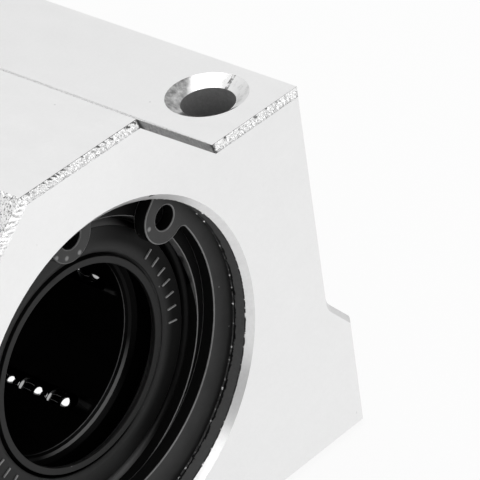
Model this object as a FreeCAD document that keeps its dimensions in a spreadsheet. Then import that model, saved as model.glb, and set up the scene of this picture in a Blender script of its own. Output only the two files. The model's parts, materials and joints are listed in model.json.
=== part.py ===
import FreeCAD, Part
import math
import operator
import os
from types import SimpleNamespace

import Sketcher
from FreeCAD import Vector

# Linear bearing block for a 16 mm shaft: a ball bushing held between two circlips in a housing.
#
# Millimetres, +Z up, origin at the middle of the base, the shaft along Y with the front at -Y.
# Every body is drawn as seen from the front: its X is to the right, its Y is up, and its Z is the
# shaft axis, pointing out of the front face, with Z = 0 at the middle of the block.

DIMS = {
    # Shaft, balls and ball tracks
    "shaft_diameter": 16.0,
    "ball_diameter": 3.0,
    "ball_gap": 0.05,
    "ball_play": 0.05,
    "island_width": 0.5,
    "return_lift": 0.8,
    "channel_play": 0.2,
    "loaded_overrun": 0.9,
    "loaded_lag": 1.5,
    "first_row_angle": 13.0,
    # Sleeve
    "bearing_length": 37.0,
    "sleeve_wall": 2.15,
    "sleeve_chamfer": 0.6,
    "outer_groove_depth": 0.5,
    "outer_groove_width": 1.6,
    "outer_groove_span": 26.5,
    # Ball retainer
    "retainer_shaft_gap": 0.15,
    "retainer_race_gap": 0.1,
    "retainer_mouth": 0.7,
    "retainer_edge": 0.3,
    "track_end_wall": 0.75,
    # Seals and the wire rings that hold them
    "seal_seat": 3.5,
    "seal_play": 0.02,
    "seal_recess": 0.8,
    "seal_margin": 0.95,
    "lip_width": 0.56,
    "lip_thickness": 0.35,
    "lip_groove_depth": 0.5,
    "lip_groove_width": 0.3,
    "lip_groove_slope": 0.5,
    "wire_diameter": 0.8,
    "wire_recess": 0.9,
    "wire_play": 0.02,
    "wire_gap_angle": 30.0,
    # Circlips and their grooves
    "circlip_thickness": 1.2,
    "circlip_width": 2.37,
    "circlip_offset": 0.7,
    "circlip_turn": 21.4,
    "circlip_play": 0.05,
    "circlip_groove_depth": 0.7,
    "circlip_groove_width": 1.64,
    "circlip_recess": 1.86,
    "lug_angle": 23.6,
    "lug_width": 4.2,
    "lug_inset": 2.15,
    "lug_hole": 2.0,
    "lug_fillet": 0.6,
    # Housing, with its walls counted outward from the bearing
    "seat_clearance": 0.01,
    "mouth_chamfer": 0.5,
    "axis_height": 19.0,
    "shoulder_rise": 13.5,
    "crown_rise": 19.5,
    "crown_width": 12.0,
    "crown_foot_width": 26.0,
    "hole_wall": 2.1,
    "side_wall": 4.35,
    "ledge_width": 2.4,
    "ledge_rise": 2.7,
    "flange_height": 10.0,
    "ledge_fillet": 1.2,
    "flange_round": 0.5,
    "end_bevel": 0.5,
    # Screw holes: one drill right through, led in at the base and countersunk in the shoulder
    "hole_end_distance": 5.75,
    "screw_hole": 4.3,
    "screw_hole_lead": 0.4,
    "countersink_width": 6.5,
    "countersink_depth": 0.7,
}

BALL_CIRCUITS = 5
TOUCH = 1e-4

OPERATIONS = {"+": operator.add, "-": operator.sub, "*": operator.mul, "/": operator.truediv}


class Formula:
    """A value held both as a number and as the spreadsheet expression that gives it."""

    def __init__(self, value, text):
        self.value = value
        self.text = text

    def __add__(self, other):
        return combine(self, "+", other)

    def __radd__(self, other):
        return combine(other, "+", self)

    def __sub__(self, other):
        return combine(self, "-", other)

    def __rsub__(self, other):
        return combine(other, "-", self)

    def __mul__(self, other):
        return combine(self, "*", other)

    def __rmul__(self, other):
        return combine(other, "*", self)

    def __truediv__(self, other):
        return combine(self, "/", other)

    def __neg__(self):
        return combine(-1, "*", self)


def as_formula(size):
    return size if isinstance(size, Formula) else Formula(size, str(size))


def combine(left, sign, right):
    left, right = as_formula(left), as_formula(right)
    return Formula(OPERATIONS[sign](left.value, right.value), f"({left.text} {sign} {right.text})")


def sine(degrees):
    degrees = as_formula(degrees)
    return Formula(math.sin(math.radians(degrees.value)), f"sin({degrees.text} * 1deg)")


def arcsine(ratio):
    return Formula(math.degrees(math.asin(ratio.value)), f"(asin({ratio.text}) / 1deg)")


def other_leg(hypotenuse, leg):
    square = hypotenuse * hypotenuse - leg * leg
    return Formula(math.sqrt(square.value), f"sqrt({square.text})")


def make_sheet(doc):
    """The driving dimensions, one to a row, and the same names as formulas."""
    sheet = doc.addObject("Spreadsheet::Sheet", "Dims")
    for row, (name, number) in enumerate(DIMS.items(), start=1):
        sheet.set(f"A{row}", name)
        sheet.set(f"B{row}", str(number))
        sheet.setAlias(f"B{row}", name)
    doc.recompute()
    return SimpleNamespace(**{name: Formula(number, f"Dims.{name}") for name, number in DIMS.items()})


def shared_sizes(d):
    """Sizes that several pieces have in common, worked out from the sheet."""
    d.ball_radius = d.ball_diameter / 2
    d.ball_pitch = d.ball_diameter + d.ball_gap
    d.pocket_radius = d.ball_radius + d.ball_play
    d.row_spacing = 2 * d.pocket_radius + d.island_width

    d.race_radius = d.shaft_diameter / 2 + d.ball_diameter
    d.loaded_radius = d.shaft_diameter / 2 + d.ball_radius
    d.loaded_height = other_leg(d.loaded_radius, d.row_spacing / 2)
    d.return_radius = d.loaded_radius + d.return_lift
    d.return_height = other_leg(d.return_radius, d.row_spacing / 2)
    d.counterbore_radius = d.return_radius + d.pocket_radius
    d.bearing_radius = d.counterbore_radius + d.sleeve_wall
    d.retainer_bore_radius = d.shaft_diameter / 2 + d.retainer_shaft_gap

    d.bearing_end = d.bearing_length / 2
    d.retainer_end = d.bearing_end - d.seal_seat
    d.track_radius = d.row_spacing / 2 + d.pocket_radius
    d.track_reach = d.retainer_end - d.track_end_wall - d.track_radius
    d.loaded_reach = d.track_reach + d.loaded_overrun
    d.circuit_turn = -d.first_row_angle - arcsine(d.row_spacing / 2 / d.loaded_radius)
    d.wire_centre = d.bearing_end - d.wire_recess - d.wire_diameter / 2

    d.circlip_groove_end = d.bearing_end + d.circlip_groove_width
    d.block_end = d.circlip_groove_end + d.circlip_recess
    d.hole_x = d.bearing_radius + d.hole_wall + d.screw_hole / 2
    d.hole_z = d.block_end - d.hole_end_distance


def place(piece, d, turn=0):
    """Stands a piece in the block: its Z along the shaft axis, turned about it by turn degrees."""
    turn = as_formula(turn)
    piece.setExpression(
        "Placement",
        f"placement(vector(0; 0; {d.axis_height.text}); "
        f"rotation(vector(1; 0; 0); 90) * rotation(vector(0; 0; 1); {turn.text}))",
    )


def new_body(doc, label, d, turn=0):
    body = doc.addObject("PartDesign::Body", label)
    body.Label = label
    place(body, d, turn)
    return body


def origin_feature(body, role):
    return next(item for item in body.Origin.OriginFeatures if item.Role == role)


def new_sketch(body, name, plane, offset=None, turn=None):
    """A sketch on a plane of the body's origin, moved along the plane's normal and turned in it."""
    sketch = body.newObject("Sketcher::SketchObject", name)
    sketch.AttachmentSupport = [(origin_feature(body, plane), "")]
    sketch.MapMode = "FlatFace"
    if offset is not None:
        sketch.setExpression("AttachmentOffset.Base.z", offset.text)
    if turn is not None:
        sketch.setExpression("AttachmentOffset.Rotation.Angle", turn.text)
    return sketch


def bind(sketch, kind, where, size):
    """Adds a sketch dimension whose value follows the sheet."""
    size = as_formula(size)
    number = sketch.addConstraint(Sketcher.Constraint(kind, *where, size.value))
    sketch.setExpression(f"Constraints[{number}]", size.text)


def bind_point(sketch, curve, end, x, y):
    bind(sketch, "DistanceX", (-1, 1, curve, end), x)
    bind(sketch, "DistanceY", (-1, 1, curve, end), y)


def point(x, y):
    return Vector(as_formula(x).value, as_formula(y).value, 0)


def draw_outline(sketch, corners):
    """A closed outline of straight lines."""
    first = sketch.GeometryCount
    count = len(corners)
    for number in range(count):
        start, end = corners[number], corners[(number + 1) % count]
        sketch.addGeometry(Part.LineSegment(point(*start), point(*end)), False)
    for number, corner in enumerate(corners):
        following = first + (number + 1) % count
        sketch.addConstraint(Sketcher.Constraint("Coincident", first + number, 2, following, 1))
        bind_point(sketch, first + number, 1, *corner)


def draw_circle(sketch, x, y, radius):
    radius = as_formula(radius)
    curve = sketch.addGeometry(Part.Circle(point(x, y), Vector(0, 0, 1), radius.value), False)
    bind_point(sketch, curve, 3, x, y)
    bind(sketch, "Radius", (curve,), radius)


def draw_slot(sketch, x, reach, radius):
    """A round-ended slot along the sketch's Y axis, with end centres at +reach and -reach."""
    first = sketch.GeometryCount
    right, left = as_formula(x) + radius, as_formula(x) - radius
    for centre, side in ((reach, 1), (-reach, -1)):
        circle = Part.Circle(point(x, centre), Vector(0, 0, 1), radius.value)
        begin = 0 if side > 0 else math.pi
        sketch.addGeometry(Part.ArcOfCircle(circle, begin, begin + math.pi), False)
    sketch.addGeometry(Part.LineSegment(point(left, reach), point(left, -reach)), False)
    sketch.addGeometry(Part.LineSegment(point(right, -reach), point(right, reach)), False)
    upper, lower, left_side, right_side = range(first, first + 4)
    for before, after in ((upper, left_side), (left_side, lower), (lower, right_side), (right_side, upper)):
        sketch.addConstraint(Sketcher.Constraint("Tangent", before, 2, after, 1))
    bind_point(sketch, upper, 3, x, reach)
    bind(sketch, "DistanceY", (-1, 1, lower, 3), -reach)
    bind(sketch, "Radius", (upper,), radius)


def draw_capsule_half(sketch, x, reach, radius):
    """Half of a round-ended rod that lies along the sketch's Y axis, to be turned about its middle."""
    first = sketch.GeometryCount
    for centre, begin in ((reach, 0), (-reach, 3 * math.pi / 2)):
        circle = Part.Circle(point(x, centre), Vector(0, 0, 1), radius.value)
        sketch.addGeometry(Part.ArcOfCircle(circle, begin, begin + math.pi / 2), False)
    far = reach + radius
    sketch.addGeometry(Part.LineSegment(point(x, far), point(x, -far)), False)
    sketch.addGeometry(Part.LineSegment(point(x + radius, -reach), point(x + radius, reach)), False)
    upper, lower, middle, side = range(first, first + 4)
    for before, after in ((upper, middle), (middle, lower), (lower, side), (side, upper)):
        sketch.addConstraint(Sketcher.Constraint("Coincident", before, 2, after, 1))
    for arc, centre in ((upper, reach), (lower, -reach)):
        bind_point(sketch, arc, 3, x, centre)
        bind(sketch, "Radius", (arc,), radius)
    for arc, on_middle, on_side, centre in ((upper, 2, 1, reach), (lower, 1, 2, -reach)):
        bind(sketch, "DistanceX", (-1, 1, arc, on_middle), x)
        bind(sketch, "DistanceY", (-1, 1, arc, on_side), centre)
    draw_axis(sketch, (x, -reach), (x, reach))


def draw_axis(sketch, start, end):
    """A construction line that a revolved feature turns about."""
    line = sketch.addGeometry(Part.LineSegment(point(*start), point(*end)), True)
    bind_point(sketch, line, 1, *start)
    bind_point(sketch, line, 2, *end)


def pad(body, name, sketch, length):
    feature = body.newObject("PartDesign::Pad", name)
    feature.Profile = sketch
    feature.SideType = "Symmetric"
    feature.setExpression("Length", length.text)
    return feature


def revolve(body, name, sketch, kind="PartDesign::Revolution", axis="V_Axis", angle=360):
    feature = body.newObject(kind, name)
    feature.Profile = sketch
    feature.ReferenceAxis = (sketch, [axis])
    if isinstance(angle, Formula):
        feature.Midplane = True
        feature.setExpression("Angle", angle.text)
    else:
        feature.Angle = angle
    return feature


def pocket_through(body, name, sketch, symmetric):
    feature = body.newObject("PartDesign::Pocket", name)
    feature.Profile = sketch
    feature.Type = "ThroughAll"
    feature.SideType = "Symmetric" if symmetric else "One side"
    return feature


def mirror_over(body, name, originals, planes):
    """Copies features over one or two planes of the body's origin, and makes the result current."""
    pattern = body.newObject("PartDesign::MultiTransform", name)
    pattern.Originals = originals
    steps = []
    for plane in planes:
        step = body.newObject("PartDesign::Mirrored", f"{name}_{plane}")
        step.MirrorPlane = (origin_feature(body, plane), [""])
        steps.append(step)
    pattern.Transformations = steps
    body.Tip = pattern
    return pattern


def repeat_round(body, name, originals):
    """Repeats features evenly round the shaft axis, once for each ball circuit."""
    pattern = body.newObject("PartDesign::PolarPattern", name)
    pattern.Originals = originals
    pattern.Axis = (origin_feature(body, "Z_Axis"), [""])
    pattern.Angle = 360
    pattern.Occurrences = BALL_CIRCUITS
    body.Tip = pattern
    return pattern


def edges_along_z(shape, x, y):
    """Names of the edges that run along Z at x to either side, at height y."""
    names = []
    for number, edge in enumerate(shape.Edges, start=1):
        ends = [vertex.Point for vertex in edge.Vertexes]
        if all(abs(abs(end.x) - x.value) < TOUCH and abs(end.y - y.value) < TOUCH for end in ends):
            names.append(f"Edge{number}")
    return names


def end_face_edges(shape, reach):
    """Names of the edges that lie in either end face, at reach along Z."""
    names = []
    for number, edge in enumerate(shape.Edges, start=1):
        depths = [vertex.Point.z for vertex in edge.Vertexes]
        if all(abs(abs(z) - reach.value) < TOUCH for z in depths) and max(depths) - min(depths) < TOUCH:
            names.append(f"Edge{number}")
    return names


def mirrored(half):
    """The other half of a profile that is symmetric about Z = 0, in running order."""
    return [(radius, -depth) for radius, depth in reversed(half)]


def dress_edges(body, kind, name, base, edges, size):
    feature = body.newObject(kind, name)
    feature.Base = (base, edges)
    feature.setExpression("Radius" if kind.endswith("Fillet") else "Size", size.text)
    return feature


def housing_block(doc, d):
    """The extruded block: crown, shoulders, sloping ledges and base flanges."""
    body = new_body(doc, "housing_block", d)
    base = -d.axis_height
    flange = base + d.flange_height
    ledge = flange + d.ledge_rise
    body_half = d.hole_x + d.side_wall
    flange_half = body_half + d.ledge_width

    outline = new_sketch(body, "block_outline", "XY_Plane")
    right_side = [
        (flange_half, base),
        (flange_half, flange),
        (body_half, ledge),
        (body_half, d.shoulder_rise),
        (d.crown_foot_width / 2, d.shoulder_rise),
        (d.crown_width / 2, d.crown_rise),
    ]
    left_side = [(-x, y) for x, y in reversed(right_side)]
    draw_outline(outline, right_side + left_side)
    block = pad(body, "block", outline, 2 * d.block_end)
    doc.recompute()

    corners = edges_along_z(block.Shape, body_half, ledge)
    block = dress_edges(body, "PartDesign::Fillet", "ledge_fillets", block, corners, d.ledge_fillet)
    doc.recompute()
    corners = edges_along_z(block.Shape, flange_half, flange)
    block = dress_edges(body, "PartDesign::Fillet", "flange_rounds", block, corners, d.flange_round)
    doc.recompute()
    rims = end_face_edges(block.Shape, d.block_end)
    dress_edges(body, "PartDesign::Chamfer", "end_bevels", block, rims, d.end_bevel)

    cut_bearing_seat(body, d)
    cut_screw_holes(body, d, base)
    return body


def cut_bearing_seat(body, d):
    """The bore for the bearing, with a groove for a circlip at each end of it."""
    seat = d.bearing_radius + d.seat_clearance
    groove = d.bearing_radius + d.circlip_groove_depth
    front_half = [
        (seat, d.bearing_end),
        (groove, d.bearing_end),
        (groove, d.circlip_groove_end),
        (seat, d.circlip_groove_end),
        (seat, d.block_end - d.mouth_chamfer),
        (seat + d.mouth_chamfer, d.block_end),
        (0, d.block_end),
    ]
    profile = new_sketch(body, "seat_profile", "XZ_Plane")
    draw_outline(profile, front_half + mirrored(front_half))
    revolve(body, "bearing_seat", profile, kind="PartDesign::Groove")


def cut_screw_holes(body, d, base):
    """Four screw holes, drilled from the base up to a countersink in the shoulder."""
    wall = d.hole_x + d.screw_hole / 2
    profile = new_sketch(body, "screw_hole_profile", "XY_Plane", offset=d.hole_z)
    draw_outline(
        profile,
        [
            (d.hole_x, base),
            (wall + d.screw_hole_lead, base),
            (wall, base + d.screw_hole_lead),
            (wall, d.shoulder_rise - d.countersink_depth),
            (d.hole_x + d.countersink_width / 2, d.shoulder_rise),
            (d.hole_x, d.shoulder_rise),
        ],
    )
    draw_axis(profile, (d.hole_x, base), (d.hole_x, d.shoulder_rise))
    hole = revolve(body, "screw_hole", profile, kind="PartDesign::Groove", axis="Axis0")
    mirror_over(body, "screw_holes", [hole], ["YZ_Plane", "XY_Plane"])


def bearing_sleeve(doc, d):
    """The hardened outer ring, with a ball race inside and return channels sunk in it."""
    body = new_body(doc, "bearing_sleeve", d, turn=d.circuit_turn)
    outside = d.bearing_radius
    groove_far = d.outer_groove_span / 2
    groove_near = groove_far - d.outer_groove_width
    bore = d.counterbore_radius
    wire_half = d.wire_diameter / 2 + d.wire_play
    front_half = [
        (outside, groove_near),
        (outside - d.outer_groove_depth, groove_near),
        (outside - d.outer_groove_depth, groove_far),
        (outside, groove_far),
        (outside, d.bearing_end - d.sleeve_chamfer),
        (outside - d.sleeve_chamfer, d.bearing_end),
        (bore, d.bearing_end),
        (bore, d.wire_centre + wire_half),
        (bore + wire_half, d.wire_centre + wire_half),
        (bore + wire_half, d.wire_centre - wire_half),
        (bore, d.wire_centre - wire_half),
        (bore, d.track_reach),
        (d.race_radius, d.track_reach),
    ]
    profile = new_sketch(body, "sleeve_profile", "XZ_Plane")
    draw_outline(profile, front_half + mirrored(front_half))
    revolve(body, "sleeve", profile)

    channel = new_sketch(body, "return_channel_profile", "XY_Plane")
    draw_circle(channel, d.row_spacing / 2, d.return_height, d.ball_radius + d.channel_play)
    cut = body.newObject("PartDesign::Pocket", "return_channel")
    cut.Profile = channel
    cut.SideType = "Symmetric"
    cut.setExpression("Length", (2 * d.track_reach).text)
    repeat_round(body, "return_channels", [cut])
    return body


def ball_retainer(doc, d):
    """The moulded cage: five closed ball tracks, each with one row open to the shaft."""
    body = new_body(doc, "ball_retainer", d, turn=d.circuit_turn)
    bore = d.retainer_bore_radius
    outside = d.race_radius - d.retainer_race_gap
    front_half = [
        (outside, d.retainer_end - d.retainer_edge),
        (outside - d.retainer_edge, d.retainer_end),
        (bore + d.retainer_mouth, d.retainer_end),
        (bore, d.retainer_end - d.retainer_mouth),
    ]
    profile = new_sketch(body, "cage_profile", "XZ_Plane")
    draw_outline(profile, front_half + mirrored(front_half))
    revolve(body, "cage", profile)

    floor = d.return_height - d.pocket_radius
    track = new_sketch(body, "track_outline", "XZ_Plane", offset=-floor)
    draw_slot(track, 0, d.track_reach, d.track_radius)
    draw_slot(track, 0, d.track_reach, d.island_width / 2)
    track_cut = pocket_through(body, "track", track, symmetric=False)

    trough = new_sketch(body, "loaded_row_profile", "XZ_Plane", offset=-d.loaded_height)
    draw_capsule_half(trough, -d.row_spacing / 2, d.loaded_reach, d.pocket_radius)
    trough_cut = revolve(body, "loaded_row", trough, kind="PartDesign::Groove", axis="Axis0")
    repeat_round(body, "ball_tracks", [track_cut, trough_cut])
    return body


def end_seal(doc, d, label, side):
    """An end seal: a thin lip round the shaft, a groove round the lip, a flat face and a low rim."""
    body = new_body(doc, label, d)
    face = d.bearing_end - d.seal_recess
    lip = d.shaft_diameter / 2
    groove = lip + d.lip_width
    face_edge = d.counterbore_radius - d.seal_margin
    rim = d.counterbore_radius - d.seal_play
    rim_face = d.wire_centre - d.wire_diameter / 2
    back_bore = d.retainer_bore_radius + d.retainer_mouth
    section = [
        (lip, face),
        (groove, face),
        (groove, face - d.lip_groove_depth),
        (groove + d.lip_groove_width, face - d.lip_groove_depth),
        (groove + d.lip_groove_width + d.lip_groove_slope, face),
        (face_edge, face),
        (face_edge + d.wire_diameter / 2, rim_face),
        (rim, rim_face),
        (rim, d.retainer_end),
        (back_bore, d.retainer_end),
        (back_bore, (face + d.retainer_end) / 2),
        (lip, face - d.lip_thickness),
    ]
    profile = new_sketch(body, f"{label}_profile", "XZ_Plane")
    draw_outline(profile, [(radius, side * depth) for radius, depth in section])
    revolve(body, f"{label}_ring", profile)
    return body


def stop_ring(doc, d, label, side):
    """The open wire ring that keeps a seal in the sleeve."""
    body = new_body(doc, label, d)
    profile = new_sketch(body, f"{label}_section", "XZ_Plane")
    draw_circle(profile, d.counterbore_radius, side * d.wire_centre, d.wire_diameter / 2)
    revolve(body, f"{label}_wire", profile, angle=360 - d.wire_gap_angle)
    return body


def circlip(doc, d, label, side):
    """A flat eccentric retaining ring with a holed lug at each side of its gap."""
    body = new_body(doc, label, d, turn=-d.circlip_turn)
    middle = side * (d.bearing_end + d.circlip_thickness / 2)
    outside = d.bearing_radius + d.circlip_groove_depth - d.circlip_play
    lug_centre = outside - d.lug_inset

    ring = new_sketch(body, f"{label}_ring_outline", "XY_Plane", offset=middle)
    draw_circle(ring, 0, 0, outside)
    draw_circle(ring, 0, d.circlip_offset, outside - d.circlip_width)
    pad(body, f"{label}_ring", ring, d.circlip_thickness)

    apex = d.lug_width / 2 / sine(d.lug_angle)
    beyond = 2 * outside
    spread = (beyond - apex) * sine(d.lug_angle) / sine(90 - d.lug_angle)
    gap = new_sketch(body, f"{label}_gap_outline", "XY_Plane")
    draw_outline(gap, [(0, apex), (spread, beyond), (-spread, beyond)])
    pocket_through(body, f"{label}_gap", gap, symmetric=True)

    lug = new_sketch(body, f"{label}_lug_outline", "XY_Plane", offset=middle, turn=-d.lug_angle)
    draw_lug(lug, lug_centre, d.lug_width / 2)
    lug_pad = pad(body, f"{label}_lug", lug, d.circlip_thickness)
    hole = new_sketch(body, f"{label}_lug_hole_outline", "XY_Plane", turn=-d.lug_angle)
    draw_circle(hole, 0, lug_centre, d.lug_hole / 2)
    lug_hole = pocket_through(body, f"{label}_lug_hole", hole, symmetric=True)
    lugs = mirror_over(body, f"{label}_lugs", [lug_pad, lug_hole], ["YZ_Plane"])
    doc.recompute()

    roots = lug_root_edges(lugs.Shape, lug_centre, d)
    dress_edges(body, "PartDesign::Fillet", f"{label}_lug_roots", lugs, roots, d.lug_fillet)
    return body


def draw_lug(sketch, centre, radius):
    """A lug about its hole: round below and on one side, square on the side towards the gap."""
    shoulder = radius * sine(45)
    circle = Part.Circle(point(0, centre), Vector(0, 0, 1), radius.value)
    arc = sketch.addGeometry(Part.ArcOfCircle(circle, math.pi, 9 * math.pi / 4), False)
    top_corner = point(-radius, centre + shoulder)
    top = sketch.addGeometry(Part.LineSegment(point(shoulder, centre + shoulder), top_corner), False)
    side = sketch.addGeometry(Part.LineSegment(top_corner, point(-radius, centre)), False)
    for before, after in ((arc, top), (top, side), (side, arc)):
        sketch.addConstraint(Sketcher.Constraint("Coincident", before, 2, after, 1))
    bind_point(sketch, arc, 3, 0, centre)
    bind(sketch, "Radius", (arc,), radius)
    bind(sketch, "DistanceY", (-1, 1, arc, 1), centre)
    bind(sketch, "DistanceY", (-1, 1, arc, 2), centre + shoulder)
    bind_point(sketch, side, 1, -radius, centre + shoulder)


def lug_root_edges(shape, lug_centre, d):
    """Names of the edges along Z where the lugs' round sides run into the ring."""
    names = []
    for number, edge in enumerate(shape.Edges, start=1):
        ends = [vertex.Point for vertex in edge.Vertexes]
        if len(ends) != 2 or math.hypot(ends[0].x - ends[1].x, ends[0].y - ends[1].y) > TOUCH:
            continue
        angle = math.degrees(math.atan2(abs(ends[0].x), ends[0].y))
        radius = math.hypot(ends[0].x, ends[0].y)
        if d.lug_angle.value < angle < 2 * d.lug_angle.value and radius > lug_centre.value:
            names.append(f"Edge{number}")
    return names


def ball_group(doc, d, label, turn, places):
    """Balls of one row, as separate solids of one group."""
    balls = []
    for number, (x, y, z) in enumerate(places, start=1):
        ball = doc.addObject("Part::Sphere", f"{label}_{number}")
        ball.setExpression("Radius", d.ball_radius.text)
        for axis, size in (("x", x), ("y", y), ("z", z)):
            ball.setExpression(f"Placement.Base.{axis}", as_formula(size).text)
        balls.append(ball)
    group = doc.addObject("Part::Compound", label)
    group.Label = label
    group.Links = balls
    place(group, d, turn)
    return group


def balls_that_fit(first, d):
    """How many balls stand in a row from its first one to the ball in the turn behind it."""
    turn_ball = d.track_reach + d.row_spacing / 2
    room = first + turn_ball - d.ball_diameter
    return int(room.value / d.ball_pitch.value) + 1


def ball_circuits(doc, d):
    """The balls of each track: the loaded row, and the return row with the ball in its rear turn."""
    groups = []
    half = d.row_spacing / 2
    first = d.loaded_reach - d.loaded_lag
    loaded = [
        (-half, d.loaded_height, first - number * d.ball_pitch)
        for number in range(balls_that_fit(first, d))
    ]
    returning = [
        (half, d.return_height, d.track_reach - number * d.ball_pitch)
        for number in range(balls_that_fit(d.track_reach, d))
    ]
    returning.append((0, d.return_height, -(d.track_reach + half)))
    for circuit in range(BALL_CIRCUITS):
        turn = d.circuit_turn - 360 / BALL_CIRCUITS * circuit
        groups.append(ball_group(doc, d, f"loaded_balls_{circuit + 1}", turn, loaded))
        groups.append(ball_group(doc, d, f"return_balls_{circuit + 1}", turn, returning))
    return groups


def check_and_write(doc, pieces):
    """Stops at anything that failed or is not a sound solid, then writes one file for each piece."""
    doc.recompute()
    failed = [item.Name for item in doc.Objects if {"Invalid", "Error"} & set(item.State)]
    if failed:
        raise RuntimeError(f"failed features: {', '.join(failed)}")
    for piece in pieces:
        if piece.Shape.isNull() or not piece.Shape.isValid():
            raise RuntimeError(f"{piece.Label} has no sound shape")
    os.makedirs("parts", exist_ok=True)
    for piece in pieces:
        piece.Shape.exportStep(f"parts/{piece.Label}.step")
        print(f"{piece.Label}: {len(piece.Shape.Solids)} solids, {piece.Shape.Volume:.2f} mm3")


def main():
    doc = FreeCAD.newDocument("linear_bearing_block")
    d = make_sheet(doc)
    shared_sizes(d)
    pieces = [
        housing_block(doc, d),
        bearing_sleeve(doc, d),
        ball_retainer(doc, d),
    ]
    for end, side in (("front", 1), ("rear", -1)):
        pieces.append(end_seal(doc, d, f"{end}_seal", side))
        pieces.append(stop_ring(doc, d, f"{end}_stop_ring", side))
        pieces.append(circlip(doc, d, f"{end}_circlip", side))
    pieces += ball_circuits(doc, d)
    check_and_write(doc, pieces)


main()
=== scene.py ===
import json
import math

import bmesh
import bpy
from mathutils import Matrix, Vector, noise


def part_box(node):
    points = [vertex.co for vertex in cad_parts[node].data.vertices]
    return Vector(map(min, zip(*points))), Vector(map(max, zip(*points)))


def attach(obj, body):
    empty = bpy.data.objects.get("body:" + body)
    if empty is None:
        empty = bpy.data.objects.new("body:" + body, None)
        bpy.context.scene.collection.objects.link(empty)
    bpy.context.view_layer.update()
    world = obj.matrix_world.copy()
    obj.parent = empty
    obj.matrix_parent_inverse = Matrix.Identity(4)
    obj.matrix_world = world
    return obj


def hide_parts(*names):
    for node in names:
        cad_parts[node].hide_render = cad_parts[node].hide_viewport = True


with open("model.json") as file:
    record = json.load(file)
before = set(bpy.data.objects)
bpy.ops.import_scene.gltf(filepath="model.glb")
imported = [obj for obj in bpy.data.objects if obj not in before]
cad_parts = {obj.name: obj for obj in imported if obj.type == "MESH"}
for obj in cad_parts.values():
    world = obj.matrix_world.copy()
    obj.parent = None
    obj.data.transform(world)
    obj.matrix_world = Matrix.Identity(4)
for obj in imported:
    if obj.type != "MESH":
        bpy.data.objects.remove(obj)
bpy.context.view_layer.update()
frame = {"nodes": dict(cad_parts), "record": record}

MM = 0.001
MOUNTS = {mount["name"]: mount for mount in frame["record"]["mounts"]}

# Where the bearing's pieces lie, in metres
SLEEVE_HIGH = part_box("bearing_sleeve")[1]
SLEEVE_END = SLEEVE_HIGH.y
SEAL_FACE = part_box("rear_seal")[1].y
RETAINER_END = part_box("ball_retainer")[1].y

# Where the block's own forms lie
BLOCK_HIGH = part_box("housing_block")[1]
BLOCK_END = BLOCK_HIGH.y
CROWN_TOP = BLOCK_HIGH.z
SHOULDER = 32.5 * MM
CROWN_HALF = 6 * MM
FOOT_HALF = 13 * MM
SHOULDER_HALF = 22.6 * MM
FLANK_MIDDLE = (CROWN_HALF + FOOT_HALF) / 2
FLANK_HALF = (FOOT_HALF - CROWN_HALF) / 2
END_BEVEL = 0.5 * MM
BORE_HEIGHT = MOUNTS["shaft_bore"]["pos_m"][2]
SEAT_RADIUS = SLEEVE_HIGH.x + 0.01 * MM
MOUTH_RADIUS = 14.75 * MM
HOLE_X = MOUNTS["base_screws"]["dims"]["spacing_x_mm"] * MM / 2
HOLE_Y = MOUNTS["base_screws"]["dims"]["spacing_y_mm"] * MM / 2
HOLE_RADIUS = MOUNTS["base_screws"]["dims"]["hole_r_mm"] * MM
COUNTERSINK_RADIUS = 3.4 * MM

# How a face is turned, as the size of its normal's share along one axis
EDGE_ON = 0.3
SLOPING = {"middle": 0.7, "half": 0.25}

# How far the burrs and the sawn skins are sunk into the block below them
BURR_ROOT = 0.04 * MM
SKIN_ROOT = 0.03 * MM


# ---------------------------------------------------------------- finishes

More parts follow.
